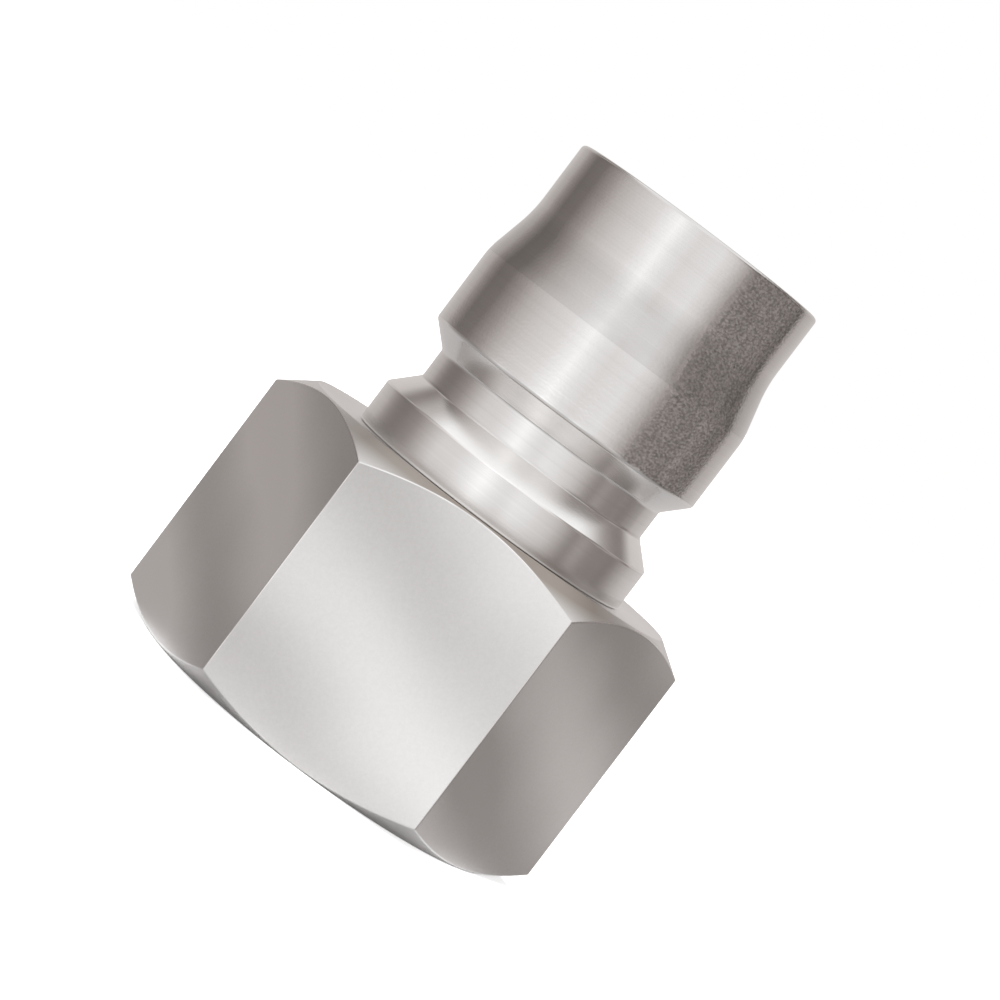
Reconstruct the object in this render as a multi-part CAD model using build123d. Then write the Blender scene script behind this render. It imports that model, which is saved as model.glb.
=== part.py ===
from build123d import *
import math
import os

# Quick coupling, male half, with a shut-off valve. Sizes in millimetres.
# The axis is Z, the origin is the centre of the hexagon's end face, and the nose points up.
# One flat of the hexagon faces -Y.

# Hexagon and port
hex_across_flats = 29.0
hex_height = 19.45
hex_chamfer_circle_d = 28.7
hex_top_chamfer_deg = 35.0
hex_end_chamfer_deg = 30.0
hex_edge_round = 0.15
dish_depth = 0.25
seat_margin = 0.1
port_thread_major_d = 20.955
port_depth = 12.5
port_entry_d = 22.0
shoulder_thickness = 1.0
shoulder_bore_d = 15.2

# Joint between the nose and the hexagon
shank_thread_d = 17.4
shank_thread_clearance = 0.05
shank_neck_d = 16.8
shank_lead_in = 0.4
o_ring_wire_d = 1.2
o_ring_squeeze = 0.2
gland_width = 1.4

# Outside of the nose
collar_d = 21.4
collar_width = 3.1
collar_foot_round = 0.25
collar_edge_round = 0.25
groove_floor_d = 18.1
groove_floor_width = 2.15
groove_corner_round = 0.3
flank_deg = 45.0
land_d = 21.2
land_width = 5.7
land_edge_round = 0.4
lead_in_length = 3.75
lead_in_land_round = 5.0
lead_in_tip_round = 10.0
tip_d = 19.4
tip_length = 5.5
tip_edge_round = 0.3
fine_edge_round = 0.1

# Inside of the nose
chamber_d = 14.6
mouth_d = 10.8
mouth_depth = 2.6
mouth_flare_d = 12.6
mouth_flare_deg = 30.0

# Poppet and its seal
poppet_head_d = 12.6
poppet_rim_width = 1.7
poppet_seat_clearance = 0.2
poppet_front_d = 9.4
poppet_boss_d = 6.6
poppet_boss_recess = 0.5
poppet_boss_round = 0.3
poppet_seal_wire_d = 1.3
poppet_seal_circle_d = 10.3
poppet_seal_clearance = 0.08
poppet_seal_groove_play = 0.05
spigot_d = 7.4
spigot_length = 1.2
stem_d = 4.0
stem_end_chamfer = 0.4
stroke = 4.5

# Valve guide
guide_rim_thickness = 0.8
guide_rim_clearance = 0.05
guide_arm_count = 3
guide_arm_width = 2.4
guide_plate_thickness = 1.6
guide_flange_d = 10.8
guide_hub_d = 6.6
guide_hub_length = 8.0
guide_window_round = 0.6
guide_hub_round = 0.4
guide_bore_clearance = 0.05

# Valve spring
spring_wire_d = 1.0
spring_mean_d = 9.0
spring_active_turns = 6
spring_closed_turns = 1.0
spring_closed_pitch = 1.05
spring_wire_sides = 10

# Heights that follow from the sizes above
seat_face = hex_height - dish_depth
shank_end = port_depth + shoulder_thickness + guide_rim_thickness
gland_depth = o_ring_wire_d - o_ring_squeeze
gland_floor = seat_face - gland_depth
collar_top = seat_face + collar_width
groove_start = collar_top + (collar_d - groove_floor_d) / 2 / math.tan(math.radians(flank_deg))
groove_end = groove_start + groove_floor_width
land_start = groove_end + (land_d - groove_floor_d) / 2 / math.tan(math.radians(flank_deg))
land_end = land_start + land_width
tip_start = land_end + lead_in_length
tip_face = tip_start + tip_length
seat_end = tip_face - mouth_depth
seat_start = seat_end - (chamber_d - mouth_d) / 2
guide_base = port_depth + shoulder_thickness
spring_seat = guide_base + guide_plate_thickness

# On the 45 degree seat cone, radius plus height is the same everywhere.
seat_line = chamber_d / 2 + seat_start
cone_line = seat_line - poppet_seat_clearance * math.sqrt(2)
head_shoulder = cone_line - poppet_head_d / 2
head_back = head_shoulder - poppet_rim_width


def turned(*outline):
    """Solid turned about Z. Each corner is (radius, height) or (radius, height, edge round)."""
    corners = [(corner[0], 0, corner[1]) for corner in outline]
    rounds = [corner[2] if len(corner) > 2 else 0 for corner in outline]
    return revolve(make_face(FilletPolyline(*corners, radius=rounds, close=True)), Axis.Z)


def make_hex_adapter():
    """Hexagon with chamfered ends and a threaded port. Its upper face falls towards the nose's seat."""
    chamfer_r = hex_chamfer_circle_d / 2
    seat_r = collar_d / 2 + seat_margin
    reach = hex_across_flats / math.sqrt(3) + 1
    top_drop = (reach - chamfer_r) * math.tan(math.radians(hex_top_chamfer_deg))
    end_rise = (reach - chamfer_r) * math.tan(math.radians(hex_end_chamfer_deg))
    ends = turned(
        (0, 0),
        (chamfer_r, 0),
        (reach, end_rise),
        (reach, hex_height - top_drop),
        (chamfer_r, hex_height),
        (seat_r, seat_face),
        (0, seat_face),
    )
    hexagon = RegularPolygon(hex_across_flats / 2, 6, major_radius=False)
    rounded = fillet(hexagon.vertices(), hex_edge_round)
    body = extrude(rounded, hex_height + 1) & ends
    straight_or_round = (GeomType.LINE, GeomType.CIRCLE)
    chamfer_edges = [edge for edge in body.edges() if edge.geom_type not in straight_or_round]
    body = fillet(chamfer_edges, hex_edge_round)

    port_r = port_thread_major_d / 2
    entry_r = port_entry_d / 2
    bore_r = shoulder_bore_d / 2
    joint_r = shank_thread_d / 2 + shank_thread_clearance
    gland_r = shank_neck_d / 2 + gland_width
    inside = turned(
        (0, -1),
        (entry_r + 1, -1),
        (port_r, entry_r - port_r),
        (port_r, port_depth),
        (bore_r, port_depth),
        (bore_r, guide_base),
        (joint_r, guide_base),
        (joint_r, gland_floor),
        (gland_r, gland_floor),
        (gland_r, hex_height + 1),
        (0, hex_height + 1),
    )
    return body - inside


def make_nose_body():
    """Turned nose: shank, collar, locking groove, land, S-shaped lead-in and tip, bored for the valve."""
    chamber_r = chamber_d / 2
    flare_r = mouth_flare_d / 2
    mouth_r = mouth_d / 2
    flare_depth = (flare_r - mouth_r) / math.tan(math.radians(mouth_flare_deg))
    return turned(
        (chamber_r, shank_end),
        (shank_thread_d / 2 - shank_lead_in, shank_end),
        (shank_thread_d / 2, shank_end + shank_lead_in),
        (shank_thread_d / 2, gland_floor),
        (shank_neck_d / 2, gland_floor),
        (shank_neck_d / 2, seat_face),
        (collar_d / 2, seat_face, collar_foot_round),
        (collar_d / 2, collar_top, collar_edge_round),
        (groove_floor_d / 2, groove_start, groove_corner_round),
        (groove_floor_d / 2, groove_end, groove_corner_round),
        (land_d / 2, land_start, land_edge_round),
        (land_d / 2, land_end, lead_in_land_round),
        (tip_d / 2, tip_start, lead_in_tip_round),
        (tip_d / 2, tip_face, tip_edge_round),
        (flare_r, tip_face, fine_edge_round),
        (mouth_r, tip_face - flare_depth),
        (mouth_r, seat_end),
        (chamber_r, seat_start),
    )


def make_body_o_ring():
    """Ring squeezed flat between the collar and the floor of its gland."""
    wire_area = math.pi * o_ring_wire_d**2 / 4
    squeezed_width = gland_depth + (wire_area - math.pi * gland_depth**2 / 4) / gland_depth
    middle_r = shank_neck_d / 2 + gland_width / 2
    section = SlotOverall(squeezed_width, gland_depth)
    placed = Plane.XZ * Pos(middle_r, seat_face - gland_depth / 2) * section
    return revolve(placed, Axis.Z)


def seal_point(outwards, off_cone):
    """Radius and height of a point by the poppet seal's wire, in steps down the cone and square to it."""
    wire_centre_r = poppet_seal_circle_d / 2
    wire_to_seat = poppet_seal_wire_d / 2 + poppet_seal_clearance
    wire_centre_z = seat_line - wire_to_seat * math.sqrt(2) - wire_centre_r
    radius = wire_centre_r + (outwards + off_cone) / math.sqrt(2)
    height = wire_centre_z + (off_cone - outwards) / math.sqrt(2)
    return radius, height


def make_poppet_seal():
    """Ring that closes on the 45 degree seat."""
    middle_r, middle_z = seal_point(0, 0)
    return Pos(0, 0, middle_z) * Torus(middle_r, poppet_seal_wire_d / 2)


def make_valve_poppet():
    """Head with a 45 degree cone, a front boss that the mating half pushes, and a guided stem."""
    head_r = poppet_head_d / 2
    front_r = poppet_front_d / 2
    boss_r = poppet_boss_d / 2
    stem_r = stem_d / 2
    front_z = cone_line - front_r
    boss_z = tip_face - poppet_boss_recess
    spigot_z = head_back - spigot_length
    stem_z = port_depth + stroke
    groove_half = poppet_seal_wire_d / 2 + poppet_seal_groove_play
    groove_floor = -poppet_seal_wire_d / 2
    groove_mouth = poppet_seal_wire_d / 2 + poppet_seal_clearance - poppet_seat_clearance
    return turned(
        (0, stem_z),
        (stem_r - stem_end_chamfer, stem_z),
        (stem_r, stem_z + stem_end_chamfer),
        (stem_r, spigot_z),
        (spigot_d / 2, spigot_z),
        (spigot_d / 2, head_back),
        (head_r, head_back),
        (head_r, head_shoulder),
        seal_point(groove_half, groove_mouth),
        seal_point(groove_half, groove_floor),
        seal_point(-groove_half, groove_floor),
        seal_point(-groove_half, groove_mouth),
        (front_r, front_z),
        (boss_r, front_z, poppet_boss_round),
        (boss_r, boss_z, poppet_boss_round),
        (0, boss_z),
    )


def make_valve_guide():
    """Turned blank with windows between its arms. The stem runs in the hub, the spring stands round it."""
    rim_r = shank_thread_d / 2 - guide_rim_clearance
    window_r = shoulder_bore_d / 2
    arm_end_r = chamber_d / 2 - guide_rim_clearance
    flange_r = guide_flange_d / 2
    hub_r = guide_hub_d / 2
    bore_r = stem_d / 2 + guide_bore_clearance
    hub_end = guide_base + guide_hub_length
    blank = turned(
        (bore_r, guide_base),
        (rim_r, guide_base),
        (rim_r, shank_end),
        (arm_end_r, shank_end),
        (arm_end_r, spring_seat),
        (hub_r, spring_seat, fine_edge_round),
        (hub_r, hub_end, guide_hub_round),
        (bore_r, hub_end),
    )
    ring = turned(
        (flange_r, guide_base - 1),
        (window_r, guide_base - 1),
        (window_r, spring_seat + 1),
        (flange_r, spring_seat + 1),
    )
    arm = Box(
        window_r + 1,
        guide_arm_width,
        guide_plate_thickness + 2,
        align=(Align.MIN, Align.CENTER, Align.MIN),
    )
    arms = PolarLocations(0, guide_arm_count) * (Pos(0, 0, guide_base - 1) * arm)
    windows = ring - arms
    corners = windows.edges().filter_by(Axis.Z)
    return blank - fillet(corners, guide_window_round)


def make_valve_spring():
    """Compression spring with closed and ground ends, between the guide's flange and the poppet."""
    length = head_back - spring_seat
    closed_height = spring_closed_turns * spring_closed_pitch
    active_height = length - 2 * closed_height
    active_pitch = active_height / spring_active_turns
    mean_r = spring_mean_d / 2
    lower = Edge.make_helix(spring_closed_pitch, closed_height, mean_r)
    active = Pos(0, 0, closed_height) * Edge.make_helix(active_pitch, active_height, mean_r)
    upper = Pos(0, 0, closed_height + active_height) * lower
    path = Wire([lower, active, upper])
    start = Plane(origin=path @ 0, z_dir=path % 0)
    section = start * RegularPolygon(spring_wire_d / 2, spring_wire_sides)
    coil = Solid.sweep(section.face(), path, is_frenet=True, transition=Transition.TRANSFORMED)
    ground = Cylinder(spring_mean_d, length, align=(Align.CENTER, Align.CENTER, Align.MIN))
    return Pos(0, 0, spring_seat) * (coil & ground)


parts = {
    "nose_body": make_nose_body(),
    "hex_adapter": make_hex_adapter(),
    "body_o_ring": make_body_o_ring(),
    "valve_poppet": make_valve_poppet(),
    "poppet_seal": make_poppet_seal(),
    "valve_spring": make_valve_spring(),
    "valve_guide": make_valve_guide(),
}

os.makedirs("parts", exist_ok=True)
for name, solid in parts.items():
    export_step(solid, f"parts/{name}.step")
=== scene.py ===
import math

import bpy
import numpy as np
from mathutils import Matrix, Vector


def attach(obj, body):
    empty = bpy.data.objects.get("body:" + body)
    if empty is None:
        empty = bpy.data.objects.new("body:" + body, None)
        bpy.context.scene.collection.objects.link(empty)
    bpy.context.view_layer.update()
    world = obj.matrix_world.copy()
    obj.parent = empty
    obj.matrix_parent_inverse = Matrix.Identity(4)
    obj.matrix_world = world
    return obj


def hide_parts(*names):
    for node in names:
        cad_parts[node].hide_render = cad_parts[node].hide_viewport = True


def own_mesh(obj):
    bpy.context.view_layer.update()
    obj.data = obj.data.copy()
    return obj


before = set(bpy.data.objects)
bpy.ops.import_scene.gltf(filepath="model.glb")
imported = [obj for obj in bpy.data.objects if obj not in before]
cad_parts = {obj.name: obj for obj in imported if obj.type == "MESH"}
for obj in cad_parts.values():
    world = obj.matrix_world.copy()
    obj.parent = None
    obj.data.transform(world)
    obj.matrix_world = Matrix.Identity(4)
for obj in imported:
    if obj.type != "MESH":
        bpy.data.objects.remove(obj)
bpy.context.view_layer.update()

MM = 0.001

# Hexagon and port, in millimetres as on a drawing
HEX_ACROSS_FLATS = 29.0
HEX_HEIGHT = 19.45
HEX_CHAMFER_CIRCLE_D = 28.7
HEX_TOP_CHAMFER_DEG = 35.0
HEX_END_CHAMFER_DEG = 30.0
HEX_EDGE_ROUND = 0.15
SEAT_D = 21.6
SEAT_FACE = 19.2
PORT_D = 20.955
PORT_DEPTH = 12.5
PORT_ENTRY_D = 22.0
THREAD_PITCH = 1.814
THREAD_DEPTH = 1.162
THREAD_END = 10.9
# Shares of half a pitch that the thread's root and one flank take, and how round the flank's ends are
THREAD_ROOT_SHARE = 0.14
THREAD_FLANK_SHARE = 0.72
THREAD_ROUNDING = 0.35
# The thread runs out into the relief over this length, with this slope
RUN_OUT_LENGTH = 0.7
RUN_OUT_SLOPE = 1.7
SHOULDER_TOP = 13.5
SHOULDER_BORE_D = 15.2
JOINT_D = 17.5
GLAND_D = 19.6
GLAND_DEPTH = 1.0

# Nose
SHANK_END = 14.3
SHANK_D = 17.4
SHANK_LEAD_IN = 0.4
NECK_D = 16.8
COLLAR_D = 21.4
COLLAR_TOP = 22.3
COLLAR_FOOT_ROUND = 0.25
COLLAR_EDGE_ROUND = 0.25
GROOVE_D = 18.1
GROOVE_START = 23.95
GROOVE_END = 26.1
GROOVE_CORNER_ROUND = 0.3
LAND_D = 21.2
LAND_START = 27.65
LAND_END = 33.35
LAND_EDGE_ROUND = 0.4
LEAD_IN_LAND_ROUND = 5.0
LEAD_IN_TIP_ROUND = 10.0
TIP_D = 19.4
TIP_START = 37.1
TIP_FACE = 42.6
TIP_EDGE_ROUND = 0.3
FINE_EDGE_ROUND = 0.1
CHAMBER_D = 14.6
MOUTH_D = 10.8
MOUTH_FLARE_D = 12.6
MOUTH_FLARE_DEG = 30.0
SEAT_START = 38.1
SEAT_END = 40.0

# Poppet and its ring
POPPET_SEAT_CLEARANCE = 0.2
SEAT_LINE = CHAMBER_D / 2 + SEAT_START
CONE_LINE = SEAT_LINE - POPPET_SEAT_CLEARANCE * math.sqrt(2)
HEAD_D = 12.6
HEAD_RIM_WIDTH = 1.7
HEAD_SHOULDER = CONE_LINE - HEAD_D / 2
HEAD_BACK = HEAD_SHOULDER - HEAD_RIM_WIDTH
SPIGOT_D = 7.4
SPIGOT_LENGTH = 1.2
FRONT_D = 9.4
BOSS_D = 6.6
BOSS_RECESS = 0.5
BOSS_ROUND = 0.3
STEM_D = 4.0
STEM_END = 17.0
STEM_CHAMFER = 0.4
RING_WIRE_D = 1.3
RING_CIRCLE_D = 10.3
RING_CLEARANCE = 0.08
RING_PLAY = 0.05

# Spring
SPRING_SEAT = 15.1
SPRING_WIRE_D = 1.0
SPRING_MEAN_D = 9.0
SPRING_ACTIVE_TURNS = 6
SPRING_CLOSED_PITCH = 1.05

# Fineness of the meshes: steps round a body, a corner, a flat, a wire, and down the thread
NOSE_STEPS = 384
VALVE_STEPS = 160
CORNER_STEPS = 8
FLAT_STEPS = 48
THREAD_STEPS = 100
RING_WIRE_SIDES = 24
SPRING_WIRE_SIDES = 16
SPRING_STEPS = 48
# The points of a flat end just short of the rounded corners, at this angle from its middle
FLAT_HALF_DEG = 29.55
# Rounds are drawn in steps of this angle, or for large ones of the second value over their radius
ROUND_STEP_DEG = 12.0
LARGE_ROUND_STEP_DEG_MM = 10.0
ROUND_LEAST_STEPS = 3
# One point this far beside a round keeps the shading of the straight stretch even
ROUND_GUARD = 0.04
# Edges that turn by more than this are drawn sharp
SHARP_DEG = 30.0
HEX_SHARP_DEG = 25.0

# Camera, from the photograph, with its place and aim in metres
CAMERA_PLACE = (0.00118, -0.2293, 0.034)
CAMERA_AIM = (0.00008, 0.0, 0.02035)
CAMERA_ROLL_DEG = 37.04
CAMERA_LENS = 123.84
CAMERA_SENSOR = 36.0
CAMERA_CLIP_START = 0.01


# Outlines and meshes

def rounded(outline):
    """Closed outline of (radius, height) points, from corners that may have a round as a third value."""
    points = []
    count = len(outline)
    for i, corner in enumerate(outline):
        here = np.array(corner[:2], float)
        if len(corner) < 3:
            points.append(tuple(here))
            continue
        size = corner[2]
        before = np.array(outline[i - 1][:2], float) - here
        after = np.array(outline[(i + 1) % count][:2], float) - here
        before_length, after_length = np.linalg.norm(before), np.linalg.norm(after)
        before /= before_length
        after /= after_length
        half = math.acos(max(-1.0, min(1.0, float(before @ after)))) / 2
        reach = size / math.tan(half)
        middle = here + (before + after) / np.linalg.norm(before + after) * size / math.sin(half)
        start, end = here + before * reach, here + after * reach
        turn = math.pi - 2 * half
        step_deg = min(ROUND_STEP_DEG, LARGE_ROUND_STEP_DEG_MM / size)
        steps = max(ROUND_LEAST_STEPS, math.ceil(math.degrees(turn) / step_deg - 0.01))
        if ROUND_GUARD < before_length - reach:
            points.append(tuple(start + before * ROUND_GUARD))
        for k in range(steps + 1):
            t = k / steps
            off_middle = (start - middle) * math.sin((1 - t) * turn) + (end - middle) * math.sin(t * turn)
            points.append(tuple(middle + off_middle / math.sin(turn)))
        if ROUND_GUARD < after_length - reach:
            points.append(tuple(end + after * ROUND_GUARD))
    return points


def new_object(name, vertices, faces, sharp_deg=SHARP_DEG):
    """Mesh object in metres with smooth faces and sharp edges where the form turns."""
    mesh = bpy.data.meshes.new(name)
    mesh.from_pydata([tuple(v) for v in vertices], [], faces)
    mesh.validate()
    mesh.polygons.foreach_set("use_smooth", [True] * len(mesh.polygons))
    mesh.set_sharp_from_angle(angle=math.radians(sharp_deg))
    obj = bpy.data.objects.new(name, mesh)
    bpy.context.scene.collection.objects.link(obj)
    return obj


def from_columns(name, angles, columns, sharp_deg=SHARP_DEG):
    """Closed body of revolution whose outline may change with the angle. Points on the axis are shared."""
    rows = len(columns[0])
    vertices, index = [], {}
    grid = []
    for angle, column in zip(angles, columns):
        line = []
        for row, (radius, height) in enumerate(column):
            key = (row,) if radius < 1e-9 else (row, round(angle, 9))
            if key not in index:
                index[key] = len(vertices)
                vertices.append((radius * math.cos(angle) * MM, radius * math.sin(angle) * MM, height * MM))
            line.append(index[key])
        grid.append(line)
    faces = []
    for c in range(len(grid)):
        here, there = grid[c], grid[(c + 1) % len(grid)]
        for row in range(rows):
            below = (row + 1) % rows
            loop = [here[row], there[row], there[below], here[below]]
            loop = [v for k, v in enumerate(loop) if v != loop[k - 1]]
            if len(loop) > 2:
                faces.append(loop)
    return new_object(name, vertices, faces, sharp_deg)


def turned(name, outline, steps):
    """Body of revolution about Z. The outline runs up its outside, so that the faces look outwards."""
    angles = [2 * math.pi * k / steps for k in range(steps)]
    return from_columns(name, angles, [rounded(outline)] * steps)


# Pieces

def hexagon_columns():
    """Angles and outside radii round the hexagon, closer together on the rounded corners."""
    centre = (HEX_ACROSS_FLATS / 2 - HEX_EDGE_ROUND) / math.cos(math.pi / 6)
    flat_half = math.radians(FLAT_HALF_DEG)
    found = []
    for side in range(6):
        corner = side * math.pi / 3
        for k in range(CORNER_STEPS + 1):
            swing = math.radians(-30 + 60 * k / CORNER_STEPS)
            x = centre + HEX_EDGE_ROUND * math.cos(swing)
            y = HEX_EDGE_ROUND * math.sin(swing)
            found.append((corner + math.atan2(y, x), math.hypot(x, y)))
        for k in range(FLAT_STEPS + 1):
            off_middle = -flat_half + 2 * flat_half * k / FLAT_STEPS
            found.append((corner + math.pi / 6 + off_middle, HEX_ACROSS_FLATS / 2 / math.cos(off_middle)))
    return found


def thread_wall(angle, height):
    """Radius of the port's wall: a right-handed thread, cut back by the entry chamfer and the relief."""
    entry = PORT_ENTRY_D / 2 - height
    if entry >= PORT_D / 2:
        return entry
    turn = (height / THREAD_PITCH - angle / (2 * math.pi)) % 1.0
    ridge = abs(2 * turn - 1)
    share = min(1.0, max(0.0, (ridge - THREAD_ROOT_SHARE) / THREAD_FLANK_SHARE))
    share = share + THREAD_ROUNDING * (share * share * (3 - 2 * share) - share)
    crest = PORT_D / 2 - THREAD_DEPTH
    run_out = crest + (height - THREAD_END + RUN_OUT_LENGTH) * RUN_OUT_SLOPE
    return min(PORT_D / 2, max(PORT_D / 2 - THREAD_DEPTH * share, entry, run_out))


def make_hexagon():
    """Hexagon with chamfered ends and a threaded port, one piece."""
    top_slope = math.tan(math.radians(HEX_TOP_CHAMFER_DEG))
    end_slope = math.tan(math.radians(HEX_END_CHAMFER_DEG))
    circle = HEX_CHAMFER_CIRCLE_D / 2
    angles, columns = [], []
    for angle, radius in hexagon_columns():
        column = rounded([
            (circle, 0),
            (radius, (radius - circle) * end_slope, HEX_EDGE_ROUND),
            (radius, HEX_HEIGHT - (radius - circle) * top_slope, HEX_EDGE_ROUND),
            (circle, HEX_HEIGHT),
            (SEAT_D / 2, SEAT_FACE),
            (GLAND_D / 2, SEAT_FACE),
            (GLAND_D / 2, SEAT_FACE - GLAND_DEPTH),
            (JOINT_D / 2, SEAT_FACE - GLAND_DEPTH),
            (JOINT_D / 2, SHOULDER_TOP),
            (SHOULDER_BORE_D / 2, SHOULDER_TOP),
            (SHOULDER_BORE_D / 2, PORT_DEPTH),
            (PORT_D / 2, PORT_DEPTH),
        ])
        for k in range(THREAD_STEPS + 1):
            height = THREAD_END * (1 - k / THREAD_STEPS)
            column.append((thread_wall(angle, height), height))
        angles.append(angle)
        columns.append(column)
    return from_columns("hex_turning", angles, columns, HEX_SHARP_DEG)


def make_nose():
    """Turned nose with shank, collar, locking groove, land, S-shaped lead-in and bored tip."""
    flare_depth = (MOUTH_FLARE_D - MOUTH_D) / 2 / math.tan(math.radians(MOUTH_FLARE_DEG))
    return turned("nose_turning", [
        (CHAMBER_D / 2, SHANK_END),
        (SHANK_D / 2 - SHANK_LEAD_IN, SHANK_END),
        (SHANK_D / 2, SHANK_END + SHANK_LEAD_IN),
        (SHANK_D / 2, SEAT_FACE - GLAND_DEPTH),
        (NECK_D / 2, SEAT_FACE - GLAND_DEPTH),
        (NECK_D / 2, SEAT_FACE),
        (COLLAR_D / 2, SEAT_FACE, COLLAR_FOOT_ROUND),
        (COLLAR_D / 2, COLLAR_TOP, COLLAR_EDGE_ROUND),
        (GROOVE_D / 2, GROOVE_START, GROOVE_CORNER_ROUND),
        (GROOVE_D / 2, GROOVE_END, GROOVE_CORNER_ROUND),
        (LAND_D / 2, LAND_START, LAND_EDGE_ROUND),
        (LAND_D / 2, LAND_END, LEAD_IN_LAND_ROUND),
        (TIP_D / 2, TIP_START, LEAD_IN_TIP_ROUND),
        (TIP_D / 2, TIP_FACE, TIP_EDGE_ROUND),
        (MOUTH_FLARE_D / 2, TIP_FACE, FINE_EDGE_ROUND),
        (MOUTH_D / 2, TIP_FACE - flare_depth),
        (MOUTH_D / 2, SEAT_END),
        (CHAMBER_D / 2, SEAT_START),
    ], NOSE_STEPS)


def by_ring(outwards, off_cone):
    """Point by the poppet ring's wire, in steps down the cone and square to it."""
    centre_r = RING_CIRCLE_D / 2
    centre_z = SEAT_LINE - (RING_WIRE_D / 2 + RING_CLEARANCE) * math.sqrt(2) - centre_r
    return (
        centre_r + (outwards + off_cone) / math.sqrt(2),
        centre_z + (off_cone - outwards) / math.sqrt(2),
    )


def make_poppet():
    """Poppet with stem, head, ring groove and front boss, turned as one."""
    half = RING_WIRE_D / 2 + RING_PLAY
    floor = -RING_WIRE_D / 2
    mouth = RING_WIRE_D / 2 + RING_CLEARANCE - POPPET_SEAT_CLEARANCE
    front_z = CONE_LINE - FRONT_D / 2
    boss_z = TIP_FACE - BOSS_RECESS
    spigot_z = HEAD_BACK - SPIGOT_LENGTH
    return turned("poppet_turning", [
        (0, STEM_END),
        (STEM_D / 2 - STEM_CHAMFER, STEM_END),
        (STEM_D / 2, STEM_END + STEM_CHAMFER),
        (STEM_D / 2, spigot_z),
        (SPIGOT_D / 2, spigot_z),
        (SPIGOT_D / 2, HEAD_BACK),
        (HEAD_D / 2, HEAD_BACK),
        (HEAD_D / 2, HEAD_SHOULDER),
        by_ring(half, mouth),
        by_ring(half, floor),
        by_ring(-half, floor),
        by_ring(-half, mouth),
        (FRONT_D / 2, front_z),
        (BOSS_D / 2, front_z, BOSS_ROUND),
        (BOSS_D / 2, boss_z, BOSS_ROUND),
        (0, boss_z),
    ], VALVE_STEPS)


def make_ring():
    """Ring in the poppet's cone."""
    centre_r, centre_z = by_ring(0, 0)
    wire_r = RING_WIRE_D / 2
    swings = [2 * math.pi * k / RING_WIRE_SIDES for k in range(RING_WIRE_SIDES)]
    wire = [(centre_r + wire_r * math.cos(swing), centre_z + wire_r * math.sin(swing)) for swing in swings]
    return turned("poppet_ring", wire, VALVE_STEPS)


def make_spring():
    """Round wire wound to closed ends that are ground flat."""
    length = HEAD_BACK - SPRING_SEAT
    active = length - 2 * SPRING_CLOSED_PITCH
    turns = SPRING_ACTIVE_TURNS + 2
    sides = SPRING_WIRE_SIDES
    mean_r, wire_r = SPRING_MEAN_D / 2, SPRING_WIRE_D / 2
    knots_turn = [0, 1, 1 + SPRING_ACTIVE_TURNS, turns]
    knots_height = [0, SPRING_CLOSED_PITCH, SPRING_CLOSED_PITCH + active, length]
    vertices, faces = [], []
    steps = turns * SPRING_STEPS
    for k in range(steps + 1):
        turn = k / SPRING_STEPS
        angle = 2 * math.pi * turn
        height = float(np.interp(turn, knots_turn, knots_height))
        for s in range(sides):
            swing = 2 * math.pi * s / sides
            radius = mean_r + wire_r * math.cos(swing)
            z = min(length, max(0.0, height + wire_r * math.sin(swing)))
            vertices.append((
                radius * math.cos(angle) * MM,
                radius * math.sin(angle) * MM,
                (SPRING_SEAT + z) * MM,
            ))
    for k in range(steps):
        for s in range(sides):
            a, b = k * sides + s, k * sides + (s + 1) % sides
            faces.append([a, b, b + sides, a + sides])
    faces.append(list(range(sides))[::-1])
    faces.append([steps * sides + s for s in range(sides)])
    return new_object("spring_coil", vertices, faces)


# Nodes

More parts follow.
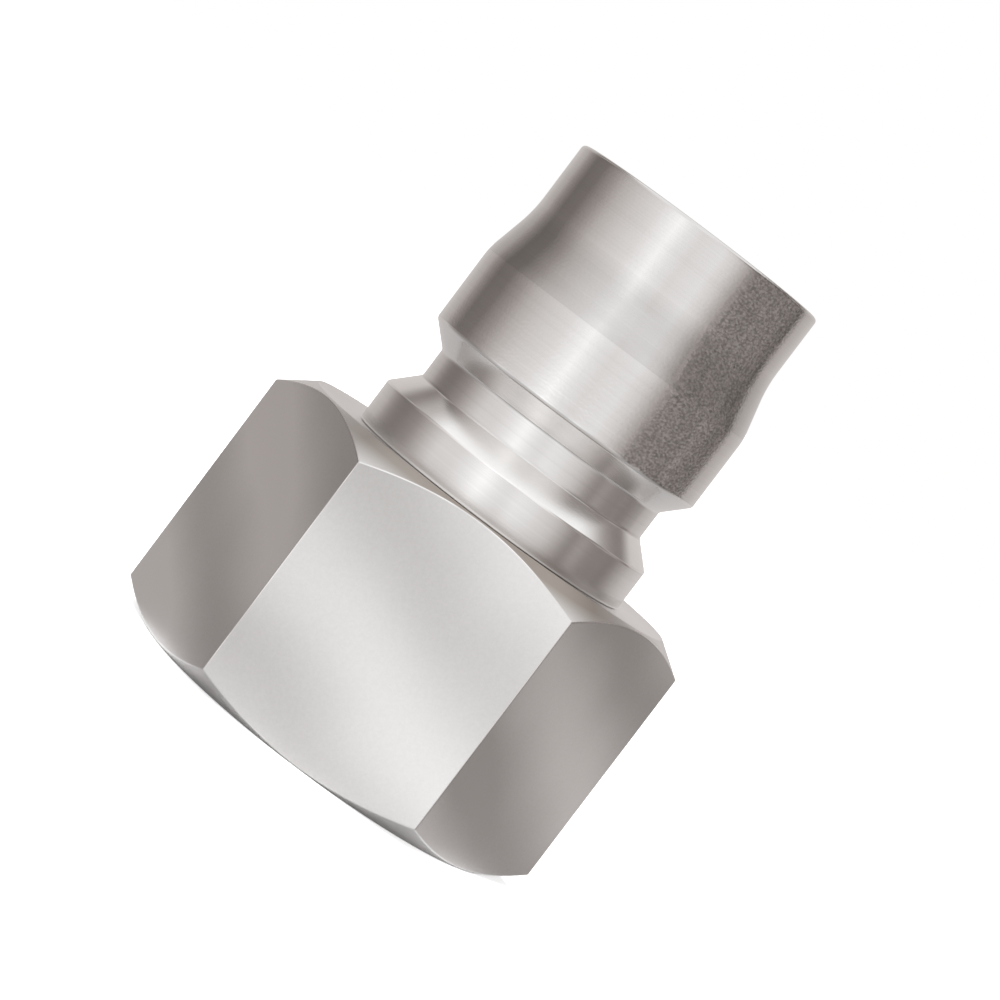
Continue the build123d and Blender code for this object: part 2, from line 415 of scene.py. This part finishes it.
class Nodes:
    """Short way to add nodes and links to one material or to the world."""

    def __init__(self, tree, output="ShaderNodeOutputMaterial"):
        self.tree = tree
        tree.nodes.clear()
        self.output = self.add(output)

    def add(self, kind, inputs=None, **settings):
        node = self.tree.nodes.new(kind)
        for key, value in settings.items():
            setattr(node, key, value)
        for key, value in (inputs or {}).items():
            if isinstance(value, bpy.types.NodeSocket):
                self.tree.links.new(value, node.inputs[key])
            else:
                node.inputs[key].default_value = value
        return node

    def places(self):
        """Places in the object's own frame, whole and as three parts."""
        vector = self.add("ShaderNodeTexCoord").outputs["Object"]
        return vector, *self.parts(vector)

    def parts(self, vector):
        return self.add("ShaderNodeSeparateXYZ", {0: vector}).outputs

    def finish(self, shader):
        self.tree.links.new(shader.outputs[0], self.output.inputs[0])

    def math(self, operation, first, second=0.0):
        return self.add("ShaderNodeMath", {0: first, 1: second}, operation=operation).outputs[0]

    def plus(self, first, second):
        return self.math("ADD", first, second)

    def times(self, first, second):
        return self.math("MULTIPLY", first, second)

    def blend(self, first, second, share):
        """The first value in this share, and the second in the rest."""
        return self.plus(self.times(first, share), self.times(second, 1 - share))

    def scaled(self, vector, factors):
        return self.add("ShaderNodeVectorMath", {0: vector, 1: factors}, operation="MULTIPLY").outputs[0]

    def across(self, x, y):
        """Distance from the axis."""
        return self.math("SQRT", self.plus(self.times(x, x), self.times(y, y)))

    def bearing(self, x, y):
        """Angle round the axis from the camera's side, in radians, growing to the right."""
        return self.math("ARCTAN2", x, self.times(y, -1.0))

    def noise(self, vector, scale, detail=2.0, roughness=0.5):
        inputs = {"Vector": vector, "Scale": scale, "Detail": detail, "Roughness": roughness}
        return self.add("ShaderNodeTexNoise", inputs).outputs[0]

    def spread(self, value, span, to_low, to_high):
        """Runs from one level to another while the value crosses the span, and stays level outside it."""
        low, high = span
        inputs = {"Value": value, "From Min": low, "From Max": high, "To Min": to_low, "To Max": to_high}
        return self.add("ShaderNodeMapRange", inputs).outputs[0]

    def rising(self, value, span):
        return self.spread(value, span, 0.0, 1.0)

    def falling(self, value, span):
        return self.spread(value, span, 1.0, 0.0)

    def window(self, value, rise, fall):
        """1 between two spans and 0 outside them."""
        return self.times(self.rising(value, rise), self.falling(value, fall))

    def choose(self, mask, without, within):
        """One level where the mask is 0, and another where it is 1."""
        return self.spread(mask, (0.0, 1.0), without, within)

    def mix(self, factor, first, second):
        return self.add("ShaderNodeMix", {0: factor, 6: first, 7: second}, data_type="RGBA").outputs[2]

    def bump(self, height, strength, depth_mm, **more):
        inputs = {"Height": height, "Strength": strength, "Distance": depth_mm * MM, **more}
        return self.add("ShaderNodeBump", inputs).outputs[0]

    def seen_directly(self, ray):
        """1 for what the camera sees, also through something clear."""
        return self.math("MAXIMUM", ray.outputs["Is Camera Ray"], ray.outputs["Is Transmission Ray"])


def in_metres(span):
    return tuple(value * MM for value in span)


def in_radians(span):
    return tuple(math.radians(value) for value in span)


def grey(level):
    return (level, level, level, 1)


def new_material(name):
    material = bpy.data.materials.new(name)
    material.use_nodes = True
    return material, Nodes(material.node_tree)


# Turned steel

STEEL_LIGHT = (0.81, 0.80, 0.795, 1)
STEEL_DARK = (0.73, 0.715, 0.705, 1)
VALVE_LIGHT = (0.82, 0.80, 0.79, 1)
VALVE_DARK = (0.72, 0.70, 0.69, 1)
SPRING_LIGHT = (0.72, 0.71, 0.70, 1)
SPRING_DARK = (0.6, 0.59, 0.58, 1)
# Near-white tone of the painted highlights on rounded edges and on the hexagon's upper face
PAINTED_HIGHLIGHT_TONE = (0.97, 0.965, 0.96, 1)
# Roughness of an edge with a painted highlight beside that of the face round it
HIGHLIGHT_SMOOTHER = 0.5

# Noise scales to the metre: fine and wide rings, soft clouds, orange peel and specks
FINE_RINGS, WIDE_RINGS = 9000.0, 900.0
STEEL_CLOUDS = 160.0
PEEL_SCALE, SPECK_SCALE = 4200.0, 4700.0
# Peel and specks are a little wider than high
SQUAT = (1.0, 1.0, 1.4)
# Share of the fine rings among the rings, and of the rings beside the clouds
FINE_SHARE, RING_SHARE = 0.6, 0.6

# Heights in millimetres over which the nose's finish changes. The land and all above it are turned finer
# than the groove and what lies below, where lines and peel keep only these parts of their strength.
FINER_FROM = (LAND_START - 0.4, LAND_START)
GROOVE_ROUGHER = 2.5
LINES_BELOW, PEEL_BELOW = 0.55, 0.12
# The lead-in is darker, from a hard line at the land to a soft one at the tip
LEAD_IN_FROM, LEAD_IN_TO = (33.25, 33.33), (TIP_START - 0.6, TIP_START + 0.6)
LEAD_IN_DARKER = 0.12
# The cone between the collar and the groove's floor is painted paler, as painted light, and the collar's
# rim and foot get painted highlights
CONE_FROM, CONE_TO = (COLLAR_TOP, COLLAR_TOP + 0.1), (GROOVE_START - 0.1, GROOVE_START)
CONE_TONE = (0.98, 0.97, 0.96, 1)
CONE_SHARE = 0.9
RIM_FROM, RIM_TO = (COLLAR_TOP - 0.12, COLLAR_TOP - 0.06), (COLLAR_TOP + 0.03, COLLAR_TOP + 0.08)
FOOT_TO = (SEAT_FACE + 0.16, SEAT_FACE + 0.24)

# Patch of painted dark specks on the right of the nose, a painted mottled reflection: its bearings in
# degrees, its lowest height and least radius in millimetres, and the part of the peel's strength that is
# left beside it
PATCH_FROM, PATCH_TO = (24.0, 29.0), (61.0, 66.0)
PATCH_FOOT = (LAND_START + 0.05, LAND_START + 0.15)
PATCH_INNER = (TIP_D / 2 - 0.3, TIP_D / 2 - 0.1)
PEEL_OFF_PATCH = 0.4
SPECK_DEPTH = 0.6
PAINTED_REFLECTION_SPECKS = (0.30, 0.285, 0.275, 1)


def turned_steel(name, light, dark, roughness, line_depth, grain_depth, anisotropy):
    """Steel with fine rings left by the lathe: they run round the axis, also on flat and cone faces.
    The depths are in millimetres. The finish of the nose goes by height, with painted highlights on the
    collar's rim and foot, and the pieces inside it share it."""
    material, nodes = new_material(name)
    position, x, y, height = nodes.places()
    across = nodes.across(x, y)
    rings_at = nodes.add("ShaderNodeCombineXYZ", {0: across, 2: height}).outputs[0]
    fine = nodes.noise(rings_at, FINE_RINGS, 3.0, 0.6)
    rings = nodes.blend(fine, nodes.noise(rings_at, WIDE_RINGS), FINE_SHARE)
    shade = nodes.blend(rings, nodes.noise(position, STEEL_CLOUDS), RING_SHARE)
    squat = nodes.scaled(position, SQUAT)
    specks = nodes.rising(nodes.noise(squat, SPECK_SCALE, 0.0), (0.3, 0.7))

    finer = nodes.rising(height, in_metres(FINER_FROM))
    lead_in = nodes.window(height, in_metres(LEAD_IN_FROM), in_metres(LEAD_IN_TO))
    cone = nodes.window(height, in_metres(CONE_FROM), in_metres(CONE_TO))
    rim = nodes.window(height, in_metres(RIM_FROM), in_metres(RIM_TO))
    # Where the collar's rim and foot get painted highlights
    painted_highlight = nodes.math("MAXIMUM", rim, nodes.falling(height, in_metres(FOOT_TO)))
    patch = nodes.window(nodes.bearing(x, y), in_radians(PATCH_FROM), in_radians(PATCH_TO))
    patch = nodes.times(patch, nodes.rising(height, in_metres(PATCH_FOOT)))
    patch = nodes.times(patch, nodes.rising(across, in_metres(PATCH_INNER)))

    colour = nodes.mix(nodes.rising(shade, (0.35, 0.65)), light, dark)
    colour = nodes.mix(nodes.times(lead_in, LEAD_IN_DARKER), colour, grey(0.0))
    # Painted light that makes the cone paler, then painted highlights on the collar's rim and foot
    colour = nodes.mix(nodes.times(cone, CONE_SHARE), colour, CONE_TONE)
    colour = nodes.mix(painted_highlight, colour, PAINTED_HIGHLIGHT_TONE)
    # Painted dark specks of a mottled reflection in the patch
    colour = nodes.mix(nodes.times(nodes.times(patch, specks), SPECK_DEPTH), colour, PAINTED_REFLECTION_SPECKS)

    rough = nodes.spread(shade, (0.3, 0.7), roughness * 0.85, roughness * 1.15)
    rough = nodes.times(rough, nodes.choose(finer, GROOVE_ROUGHER, 1.0))
    rough = nodes.times(rough, nodes.choose(painted_highlight, 1.0, HIGHLIGHT_SMOOTHER))

    lines = nodes.bump(rings, nodes.choose(finer, LINES_BELOW, 1.0), line_depth)
    peel = nodes.times(nodes.choose(finer, PEEL_BELOW, 1.0), nodes.choose(patch, PEEL_OFF_PATCH, 1.0))
    normal = nodes.bump(nodes.noise(squat, PEEL_SCALE, 0.0), peel, grain_depth, Normal=lines)
    tangent = nodes.add("ShaderNodeTangent", direction_type="RADIAL", axis="Z").outputs[0]
    nodes.finish(nodes.add("ShaderNodeBsdfPrincipled", {
        "Base Color": colour, "Metallic": 1.0, "Roughness": rough, "Normal": normal,
        "Anisotropic": anisotropy, "Anisotropic Rotation": 0.25, "Tangent": tangent,
    }))
    return material


# Milled steel

HEX_LIGHT = (0.93, 0.92, 0.915, 1)
HEX_DARK = (0.55, 0.535, 0.525, 1)
HEX_ROUGHNESS = 0.36

# Clouds, partly grinding tone and partly painted reflection bands: height of one wave in millimetres, waves
# round the axis, where they start on each side of the hexagon, how strong they are there, and how far they
# wander
CLOUD_HEIGHT = 14.0
CLOUD_TURNS = 3.0
CLOUD_PHASE_SIDES = -1.0
CLOUD_PHASE_FRONT = -2.7
CLOUD_PHASE_LEFT = -1.1
CLOUDS_ON_FRONT, CLOUDS_ON_SIDES = 0.3, 0.5
CLOUD_WANDER = 1.6
WANDER_SCALE = 110.0
# Painted light and shade as slow changes of tone: rightwards and upwards on the front, along a side, and
# from left to right
FRONT_DRIFT = 0.4
FRONT_DRIFT_FOOT, FRONT_DRIFT_TOP = 0.1, -0.06
SIDE_DRIFT = -0.18
SIDE_BALANCE = -0.24
# Share of the clouds beside the grain, the grain's noise scale to the metre, and its depth in millimetres
CLOUD_SHARE = 0.8
MILLED_GRAIN = 5200.0
MILLED_DEPTH = 0.001

# The upper face is painted brighter, as painted light, with painted shade in a ring round the collar on the
# front:
# distances from the axis in millimetres, bearing in radians, and the painted shade's least shares inside,
# outside and at the sides
UPWARDS = (0.3, 0.6)
UPPER_FACE_SHARE = 0.85
COLLAR_SHADE_TONE = (0.43, 0.385, 0.345, 1)
COLLAR_SHADE_FROM, COLLAR_SHADE_TO = (11.2, 13.0), (15.0, 16.7)
COLLAR_SHADE_BEARING = (0.65, 1.0)
COLLAR_SHADE_INSIDE, COLLAR_SHADE_OUTSIDE, COLLAR_SHADE_AT_SIDES = 0.3, 0.1, 0.1
COLLAR_SHADE_WAVE = 0.1

# Rounded edges get a painted highlight: upward tilt of the normal off a flat and off a chamfer, the share
# of the lower edges, the patches' noise scale to the metre, and their least share
OFF_FLAT, OFF_CHAMFER = (0.05, 0.2), (0.55, 0.75)
LOWER_HIGHLIGHT = 0.15
HIGHLIGHT_PATCHES = 260.0
HIGHLIGHT_LEAST = 0.3


def grinding_tone_and_painted_light(nodes, position, bearing, height, facing_x):
    """Slanting waves of tone, partly grinding tone and partly painted reflection, plus painted light and
    shade across the faces: the bare wave from -1 to 1, and the cloud round 0.5 that comes of it.
    """
    sideways = nodes.rising(nodes.math("ABSOLUTE", facing_x), (0.2, 0.8))
    rise = nodes.times(height, 2 * math.pi / (CLOUD_HEIGHT * MM))
    slant = nodes.plus(nodes.times(bearing, CLOUD_TURNS), rise)
    wander = nodes.times(nodes.noise(position, WANDER_SCALE, 1.0, 0.4), CLOUD_WANDER)
    phase = nodes.plus(
        nodes.choose(sideways, CLOUD_PHASE_FRONT, CLOUD_PHASE_SIDES),
        nodes.spread(facing_x, (-0.6, -0.4), CLOUD_PHASE_LEFT, 0.0),
    )
    wave = nodes.math("SINE", nodes.plus(nodes.plus(slant, wander), phase))
    # Painted light and shade: slow changes of tone across the front, along a side, and from the left side
    # to the right
    across_front = nodes.plus(
        nodes.times(nodes.math("SINE", bearing), FRONT_DRIFT),
        nodes.spread(height, in_metres((0.0, HEX_HEIGHT)), FRONT_DRIFT_FOOT, FRONT_DRIFT_TOP),
    )
    across_side = nodes.plus(
        nodes.times(nodes.math("COSINE", nodes.times(bearing, 2.0)), SIDE_DRIFT),
        nodes.times(facing_x, SIDE_BALANCE),
    )
    drift = nodes.plus(
        nodes.times(across_front, nodes.math("SUBTRACT", 1.0, sideways)),
        nodes.times(across_side, sideways),
    )
    strength = nodes.choose(sideways, CLOUDS_ON_FRONT, CLOUDS_ON_SIDES)
    return wave, nodes.plus(nodes.plus(nodes.times(wave, strength), 0.5), drift)


def painted_collar_shade(nodes, across, bearing, wave):
    """Share of the painted shade round the collar."""
    collar_shade = nodes.times(
        nodes.spread(across, in_metres(COLLAR_SHADE_FROM), COLLAR_SHADE_INSIDE, 1.0),
        nodes.spread(across, in_metres(COLLAR_SHADE_TO), 1.0, COLLAR_SHADE_OUTSIDE),
    )
    off_front = nodes.math("ABSOLUTE", bearing)
    collar_shade = nodes.times(collar_shade, nodes.spread(off_front, COLLAR_SHADE_BEARING, 1.0, COLLAR_SHADE_AT_SIDES))
    return nodes.plus(collar_shade, nodes.times(wave, COLLAR_SHADE_WAVE))


def painted_edge_highlights(nodes, position, facing_x, facing_y, facing_z):
    """Share of the painted edge highlight: 1 where the normal lies between a flat's and a chamfer's, or
    between two flats', less in patches.
    """
    tilt = nodes.math("ABSOLUTE", facing_z)
    arcs = nodes.window(tilt, OFF_FLAT, OFF_CHAMFER)
    arcs = nodes.times(arcs, nodes.spread(facing_z, (-0.05, 0.05), LOWER_HIGHLIGHT, 1.0))
    sixfold = nodes.math("COSINE", nodes.times(nodes.bearing(facing_x, facing_y), 6.0))
    corners = nodes.times(nodes.rising(sixfold, (0.8, -0.2)), nodes.falling(tilt, OFF_FLAT))
    patchy = nodes.spread(nodes.noise(position, HIGHLIGHT_PATCHES, 1.0), (0.4, 0.6), HIGHLIGHT_LEAST, 1.0)
    return nodes.times(nodes.math("MAXIMUM", arcs, corners), patchy)


def milled_steel(name, light, dark, roughness):
    """Satin steel of the hexagon: clouds of grinding tone and painted reflection, painted light and shade,
    a fine grain, a painted shade round the collar, and painted highlights on the edges and upper face.
    """
    material, nodes = new_material(name)
    position, x, y, height = nodes.places()
    facing_x, facing_y, facing_z = nodes.parts(nodes.add("ShaderNodeTexCoord").outputs["Normal"])
    bearing = nodes.bearing(x, y)
    wave, cloud = grinding_tone_and_painted_light(nodes, position, bearing, height, facing_x)
    grain = nodes.noise(position, MILLED_GRAIN, 2.0, 0.6)
    shade = nodes.blend(cloud, grain, CLOUD_SHARE)
    upwards = nodes.rising(facing_z, UPWARDS)
    collar_shade = painted_collar_shade(nodes, nodes.across(x, y), bearing, wave)
    painted_highlight = painted_edge_highlights(nodes, position, facing_x, facing_y, facing_z)

    colour = nodes.mix(shade, dark, light)
    # Painted light on the upper face, then painted shade round the collar
    colour = nodes.mix(nodes.times(upwards, UPPER_FACE_SHARE), colour, PAINTED_HIGHLIGHT_TONE)
    colour = nodes.mix(nodes.times(upwards, collar_shade), colour, COLLAR_SHADE_TONE)
    # Painted highlights on the rounded edges
    colour = nodes.mix(painted_highlight, colour, PAINTED_HIGHLIGHT_TONE)
    rough = nodes.spread(shade, (0.0, 1.0), roughness * 1.1, roughness * 0.9)
    rough = nodes.times(rough, nodes.choose(painted_highlight, 1.0, HIGHLIGHT_SMOOTHER))
    nodes.finish(nodes.add("ShaderNodeBsdfPrincipled", {
        "Base Color": colour, "Metallic": 1.0, "Roughness": rough,
        "Normal": nodes.bump(grain, 1.0, MILLED_DEPTH),
    }))
    return material


# Rubber

RUBBER_CLEAN = (0.018, 0.018, 0.019, 1)
RUBBER_BLOOM = (0.04, 0.04, 0.041, 1)
BLOOM_SCALE = 600.0
RUBBER_GRAIN = 12000.0
RUBBER_DEPTH = 0.001


def black_rubber():
    """Matte nitrile with a faint bloom."""
    material, nodes = new_material("seal_rubber")
    position = nodes.add("ShaderNodeTexCoord").outputs["Object"]
    bloom = nodes.noise(position, BLOOM_SCALE, 3.0, 0.6)
    grain = nodes.noise(position, RUBBER_GRAIN, 2.0, 0.6)
    nodes.finish(nodes.add("ShaderNodeBsdfPrincipled", {
        "Base Color": nodes.mix(nodes.rising(bloom, (0.35, 0.7)), RUBBER_CLEAN, RUBBER_BLOOM),
        "Roughness": nodes.spread(bloom, (0.3, 0.7), 0.48, 0.62),
        "Normal": nodes.bump(grain, 1.0, RUBBER_DEPTH),
    }))
    return material


# Studio

# Brightness of the studio's walls that the metal reflects, by bearing from the camera's side in degrees.
# The camera sees the nose reflect the upper walls and the hexagon the lower ones.
UPPER_WALLS = [
    (-180, 0.62), (-155, 0.58), (-137, 0.46), (-128, 0.30), (-116, 0.17), (-100, 0.19), (-84, 0.35),
    (-71, 0.55), (-55, 0.71), (-35, 0.88), (-17, 1.17), (-7, 0.98), (4, 0.87), (24, 0.95), (36, 0.78),
    (48, 0.46), (56, 0.32), (66, 0.30), (98, 0.285), (110, 0.25), (122, 0.21), (130, 0.46), (152, 0.58),
    (180, 0.62),
]
LOWER_WALLS = [
    (-180, 0.60), (-150, 0.62), (-135, 0.62), (-122, 0.36), (-108, 0.24), (-86, 0.27), (-74, 0.50),
    (-59, 0.90), (-42, 0.86), (-29, 1.10), (-17, 1.45), (-5, 1.06), (2, 0.97), (12, 1.20), (22, 1.00),
    (30, 0.82), (44, 0.74), (53, 0.52), (61, 0.20), (70, 0.50), (80, 0.26), (102, 0.17), (110, 0.34),
    (120, 0.62), (150, 0.70), (180, 0.60),
]
# Walls above the others, up to the ceiling, with two dark flags behind the object
HIGH_WALLS = [
    (-180, 0.62), (-156, 0.55), (-147, 0.18), (-136, 0.18), (-126, 0.60), (-118, 0.30), (-100, 0.30),
    (-84, 0.60), (-55, 0.90), (0, 1.05), (36, 0.80), (56, 0.25), (110, 0.20), (122, 0.50), (132, 0.20),
    (147, 0.18), (156, 0.58), (180, 0.62),
]
# Elevations in degrees over which one part of the studio gives way to the next
LOWER_TO_UPPER = (-3.5, 0.5)
WALLS_TO_FLOOR = (-5, -35)
UPPER_TO_HIGH = (26, 34)
HIGH_TO_CEILING = (48, 58)
FLOOR_GLOW = 0.5
FLOOR_SHARE = 0.7
CEILING_GLOW = 1.0
# Mottle on the right-hand upper wall: its ends in degrees, blotches to the metre, depth and least level
MOTTLE_FROM, MOTTLE_TO = (47.0, 53.0), (123.0, 129.0)
MOTTLE_SCALE = 34.0
MOTTLE_DEPTH = 1.2
MOTTLE_LEAST = 0.1
# Dim walls are warmer than bright ones, by these parts of red and of blue
WARM_RED = 0.15
WARM_BLUE = 0.07
DOME_RADIUS = 0.9

# The floor's size and its small drop below the object in metres, its tone, and the light that lifts it
FLOOR_HALF_SIZE = 30.0
FLOOR_DROP = 0.00002
FLOOR_TONE = 0.86
FLOOR_LIFT = 0.6
# Metal reflects the floor only between these distances from the axis, in millimetres
FLOOR_SHOWN_FROM, FLOOR_SHOWN_TO = (13.9, 14.2), (14.5, 17.5)

# Level of the surroundings as soft light, and the point that the lamps face
SURROUNDINGS = 0.7
LAMP_AIM = (0, 0, 0.02)


def glossy_only(obj):
    """A studio card: metal reflects it, and nothing else sees it."""
    obj.visible_camera = False
    obj.visible_diffuse = False
    obj.visible_shadow = False
    obj.visible_transmission = False
    obj.visible_volume_scatter = False


def wall_ramp(nodes, place, levels):
    """Brightness of a ring of walls, by place 0 to 1 round it."""
    ramp = nodes.add("ShaderNodeValToRGB", {0: place})
    ramp.color_ramp.interpolation = "LINEAR"
    while len(ramp.color_ramp.elements) < len(levels):
        ramp.color_ramp.elements.new(0.5)
    for element, (degrees, level) in zip(ramp.color_ramp.elements, levels):
        element.position = (degrees + 180) / 360
        dim = max(0.0, 1.0 - level)
        element.color = (level * (1 + WARM_RED * dim), level, level * (1 - WARM_BLUE * dim), 1)
    return ramp.outputs[0]


def wall_mottle(nodes, position, bearing):
    """Uneven tone of the right-hand wall, as a factor round 1."""
    blotches = nodes.math("SUBTRACT", nodes.noise(position, MOTTLE_SCALE, 0.0), 0.5)
    within = nodes.window(bearing, in_radians(MOTTLE_FROM), in_radians(MOTTLE_TO))
    mottle = nodes.times(nodes.times(blotches, MOTTLE_DEPTH), within)
    return nodes.math("MAXIMUM", nodes.plus(mottle, 1.0), MOTTLE_LEAST)


def make_dome():
    """Ball of studio walls, floor and ceiling round the object, seen only in reflections."""
    bpy.ops.mesh.primitive_uv_sphere_add(segments=96, ring_count=48, radius=DOME_RADIUS)
    dome = bpy.context.object
    dome.name = "studio_dome"
    material, nodes = new_material("studio_dome")
    position, x, y, height = nodes.places()
    bearing = nodes.bearing(x, y)
    place = nodes.rising(bearing, (-math.pi, math.pi))

    def above(elevations):
        return nodes.rising(height, [DOME_RADIUS * math.sin(angle) for angle in in_radians(elevations)])

    upper = nodes.scaled(wall_ramp(nodes, place, UPPER_WALLS), wall_mottle(nodes, position, bearing))
    colour = nodes.mix(above(LOWER_TO_UPPER), wall_ramp(nodes, place, LOWER_WALLS), upper)
    colour = nodes.mix(nodes.times(above(WALLS_TO_FLOOR), FLOOR_SHARE), colour, grey(FLOOR_GLOW))
    colour = nodes.mix(above(UPPER_TO_HIGH), colour, wall_ramp(nodes, place, HIGH_WALLS))
    colour = nodes.mix(above(HIGH_TO_CEILING), colour, grey(CEILING_GLOW))
    nodes.finish(nodes.add("ShaderNodeEmission", {"Color": colour, "Strength": 1.0}))
    dome.data.materials.append(material)
    glossy_only(dome)


def make_floor():
    """Wide pale floor. It keeps the object's shadow, and is lifted to white where no shadow lies.
    Metal reflects only a narrow ring of it round the hexagon's foot, and the studio beyond."""
    size = FLOOR_HALF_SIZE
    vertices = [(-size, -size, 0), (size, -size, 0), (size, size, 0), (-size, size, 0)]
    floor = new_object("floor", vertices, [[0, 1, 2, 3]])
    floor.location.z = -FLOOR_DROP
    material, nodes = new_material("floor")
    matte = nodes.add("ShaderNodeBsdfDiffuse", {"Color": grey(FLOOR_TONE)})
    ray = nodes.add("ShaderNodeLightPath")
    lift = nodes.add("ShaderNodeEmission", {"Strength": nodes.times(nodes.seen_directly(ray), FLOOR_LIFT)})
    pale = nodes.add("ShaderNodeAddShader", {0: matte.outputs[0], 1: lift.outputs[0]})
    clear = nodes.add("ShaderNodeBsdfTransparent")
    place = nodes.add("ShaderNodeNewGeometry")
    distance = nodes.add("ShaderNodeVectorMath", {0: place.outputs["Position"]}, operation="LENGTH")
    far = nodes.rising(distance.outputs["Value"], in_metres(FLOOR_SHOWN_TO))
    under = nodes.falling(distance.outputs["Value"], in_metres(FLOOR_SHOWN_FROM))
    unseen = nodes.times(nodes.math("MAXIMUM", far, under), ray.outputs["Is Glossy Ray"])
    hidden = nodes.math("MAXIMUM", unseen, place.outputs["Backfacing"])
    nodes.finish(nodes.add("ShaderNodeMixShader", {0: hidden, 1: pale.outputs[0], 2: clear.outputs[0]}))
    floor.data.materials.append(material)


def make_world():
    """White surroundings for the camera and for reflections, and a plain soft level for the rest."""
    world = bpy.data.worlds.new("studio")
    bpy.context.scene.world = world
    world.use_nodes = True
    nodes = Nodes(world.node_tree, "ShaderNodeOutputWorld")
    ray = nodes.add("ShaderNodeLightPath")
    seen = nodes.math("MAXIMUM", nodes.seen_directly(ray), ray.outputs["Is Glossy Ray"])
    soft = nodes.add("ShaderNodeBackground", {"Color": grey(SURROUNDINGS), "Strength": 1.0})
    white = nodes.add("ShaderNodeBackground", {"Color": grey(1), "Strength": 1.0})
    nodes.finish(nodes.add("ShaderNodeMixShader", {0: seen, 1: soft.outputs[0], 2: white.outputs[0]}))


def make_lamp(name, place, size, energy):
    data = bpy.data.lights.new(name, "AREA")
    data.shape = "DISK"
    data.size = size
    data.energy = energy
    lamp = bpy.data.objects.new(name, data)
    bpy.context.scene.collection.objects.link(lamp)
    lamp.location = place
    lamp.rotation_euler = (Vector(LAMP_AIM) - Vector(place)).to_track_quat("-Z", "Y").to_euler()
    lamp.visible_camera = False
    lamp.visible_glossy = False


def make_camera():
    """Level with the lead-in, looking slightly down, and rolled so that the nose leans to the right."""
    data = bpy.data.cameras.new("camera")
    data.sensor_width = CAMERA_SENSOR
    data.lens = CAMERA_LENS
    data.clip_start = CAMERA_CLIP_START
    camera = bpy.data.objects.new("camera", data)
    bpy.context.scene.collection.objects.link(camera)
    place = Vector(CAMERA_PLACE)
    forward = (Vector(CAMERA_AIM) - place).normalized()
    level = forward.cross(Vector((0, 0, 1))).normalized()
    upright = level.cross(forward)
    roll = math.radians(CAMERA_ROLL_DEG)
    right = level * math.cos(roll) + upright * math.sin(roll)
    up = upright * math.cos(roll) - level * math.sin(roll)
    turn = Matrix((right, up, -forward)).transposed()
    camera.matrix_world = Matrix.Translation(place) @ turn.to_4x4()
    bpy.context.scene.camera = camera


# Assembly

def dress(piece, material, body, node):
    piece.data.materials.append(material)
    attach(piece, body)
    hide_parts(node)


make_camera()
nose_steel = turned_steel(
    "nose_steel", STEEL_LIGHT, STEEL_DARK,
    roughness=0.076, line_depth=0.0005, grain_depth=0.0065, anisotropy=0.5,
)
hex_steel = milled_steel("hex_steel", HEX_LIGHT, HEX_DARK, HEX_ROUGHNESS)
valve_steel = turned_steel(
    "valve_steel", VALVE_LIGHT, VALVE_DARK,
    roughness=0.2, line_depth=0.0008, grain_depth=0.0003, anisotropy=0.4,
)
spring_steel = turned_steel(
    "spring_steel", SPRING_LIGHT, SPRING_DARK,
    roughness=0.25, line_depth=0.0004, grain_depth=0.0004, anisotropy=0.2,
)
rubber = black_rubber()

dress(make_hexagon(), hex_steel, "coupling_body", "hex_adapter")
dress(make_nose(), nose_steel, "coupling_body", "nose_body")
dress(make_poppet(), valve_steel, "poppet", "valve_poppet")
dress(make_ring(), rubber, "poppet", "poppet_seal")
spring = make_spring()
dress(spring, spring_steel, "coupling_body", "valve_spring")
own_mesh(spring)
for node, material in (("valve_guide", valve_steel), ("body_o_ring", rubber)):
    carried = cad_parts[node].data
    carried.materials.clear()
    carried.materials.append(material)

make_floor()
make_dome()
make_world()
make_lamp("key", (-0.35, -0.55, 0.75), size=0.5, energy=6.0)
make_lamp("top", (0.15, 0.1, 0.9), size=0.7, energy=6.0)

scene = bpy.context.scene
scene.view_settings.view_transform = "Standard"
